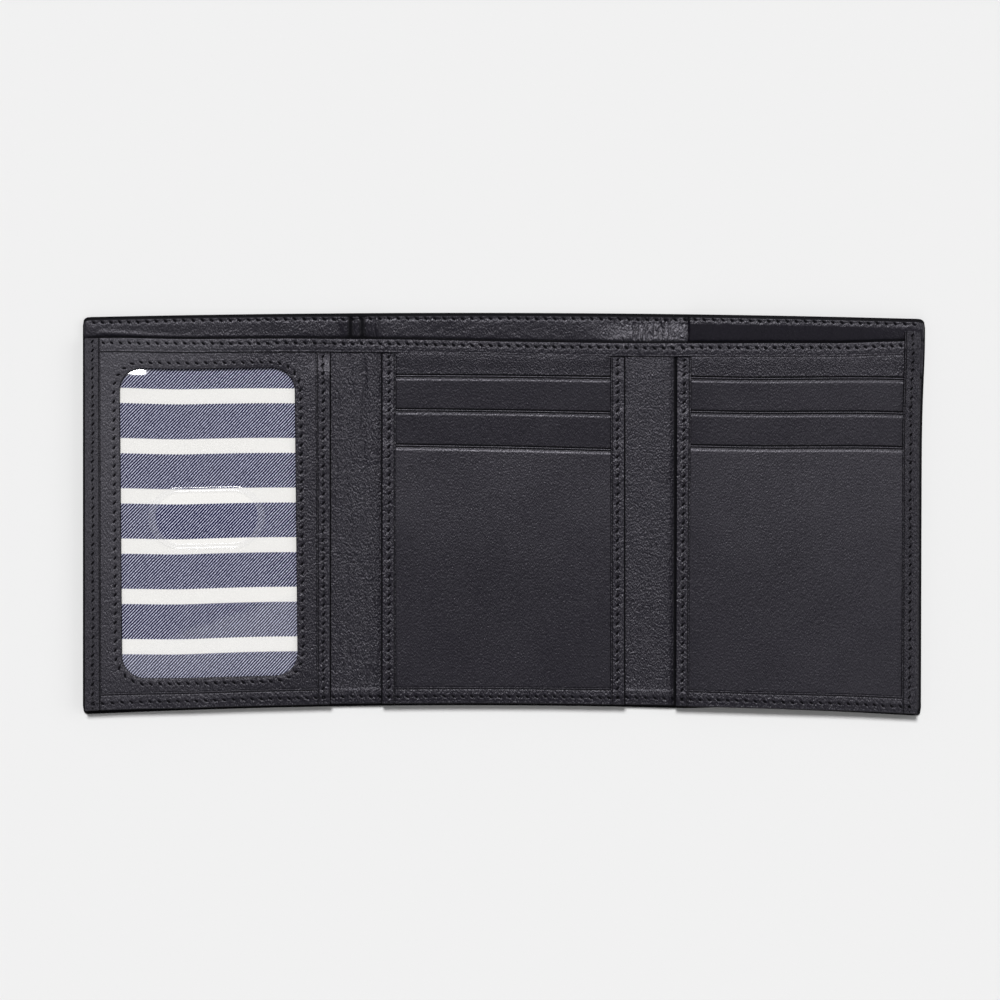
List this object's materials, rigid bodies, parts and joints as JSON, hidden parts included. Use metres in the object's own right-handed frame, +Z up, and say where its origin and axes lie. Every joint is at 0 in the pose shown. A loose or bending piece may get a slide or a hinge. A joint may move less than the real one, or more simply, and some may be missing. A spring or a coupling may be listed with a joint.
{
  "type": "trifold wallet",
  "caption": "Black leather trifold wallet lying open, with stitched card pockets, a clear identity window over striped fabric, and a long bill compartment.",
  "frame": {"origin": "under the middle of the open wallet, on the surface that its outer leather lies on", "axes": "+X along the open width towards the plain pocket panel, +Y towards the open mouth of the bill compartment, +Z up out of the pocket side"},
  "size_m": [0.2284, 0.108, 0.0046],
  "materials": {
    "shell_leather": "black, fine grain, semi-matt",
    "inner_leather": "black, fine grain, soft sheen",
    "pocket_leather": "black, smooth fine grain, soft sheen",
    "lining_fabric": "black woven lining",
    "striped_twill": "navy and pale grey twill with white cross stripes",
    "clear_film": "clear flexible film, glossy",
    "thread": "black sewing thread"
  },
  "bodies": {
    "centre_panel": {"centre_bill_lining": "lining_fabric", "centre_facing": "inner_leather", "centre_hem_seam": "thread", "centre_inner_lining": "lining_fabric", "centre_inner_panel": "inner_leather", "centre_panel_seam": "thread", "centre_shell": "shell_leather", "centre_shell_seam": "thread", "centre_slot_lower": "pocket_leather", "centre_slot_middle": "pocket_leather", "centre_slot_upper": "pocket_leather", "centre_strip_bottom": "inner_leather", "centre_strip_left": "inner_leather", "centre_strip_right": "inner_leather"},
    "left_spine": {"left_spine_bill_lining": "lining_fabric", "left_spine_facing": "inner_leather", "left_spine_hem_seam": "thread", "left_spine_inner_lining": "lining_fabric", "left_spine_inner_panel": "inner_leather", "left_spine_shell": "shell_leather", "left_spine_shell_seam": "thread"},
    "left_panel": {"id_backing": "striped_twill", "id_film": "clear_film", "id_window_frame": "inner_leather", "id_window_seam": "thread", "left_bill_lining": "lining_fabric", "left_facing": "inner_leather", "left_hem_seam": "thread", "left_inner_lining": "lining_fabric", "left_panel_seam": "thread", "left_shell": "shell_leather", "left_shell_seam": "thread", "left_strip_bottom": "inner_leather", "left_strip_inner": "inner_leather", "left_strip_outer": "inner_leather"},
    "right_spine": {"right_spine_bill_lining": "lining_fabric", "right_spine_facing": "inner_leather", "right_spine_hem_seam": "thread", "right_spine_inner_lining": "lining_fabric", "right_spine_inner_panel": "inner_leather", "right_spine_shell": "shell_leather", "right_spine_shell_seam": "thread"},
    "right_panel": {"right_bill_lining": "lining_fabric", "right_facing": "inner_leather", "right_hem_seam": "thread", "right_inner_lining": "lining_fabric", "right_inner_panel": "inner_leather", "right_panel_seam": "thread", "right_shell": "shell_leather", "right_shell_seam": "thread", "right_slot_lower": "pocket_leather", "right_slot_middle": "pocket_leather", "right_slot_upper": "pocket_leather", "right_strip_bottom": "inner_leather", "right_strip_inner": "inner_leather", "right_strip_outer": "inner_leather"}
  },
  "joints": [
    {"name": "right_fold", "type": "hinge", "parent": "centre_panel", "child": "right_spine", "pos_m": [0.0378, 0, 0.0016], "axis": [0, -1, 0], "range_deg": [0, 90]},
    {"name": "right_fold_outer", "type": "hinge", "parent": "right_spine", "child": "right_panel", "pos_m": [0.0445, 0, 0.0016], "axis": [0, -1, 0], "range_deg": [0, 90]},
    {"name": "left_fold", "type": "hinge", "parent": "centre_panel", "child": "left_spine", "pos_m": [-0.0343, 0, 0.0016], "axis": [0, 1, 0], "range_deg": [0, 90]},
    {"name": "left_fold_outer", "type": "hinge", "parent": "left_spine", "child": "left_panel", "pos_m": [-0.0459, 0, 0.0016], "axis": [0, 1, 0], "range_deg": [0, 90]}
  ],
  "couplings": [
    {"joint": "right_fold_outer", "follows": "right_fold", "ratio": 1},
    {"joint": "left_fold_outer", "follows": "left_fold", "ratio": 1}
  ]
}
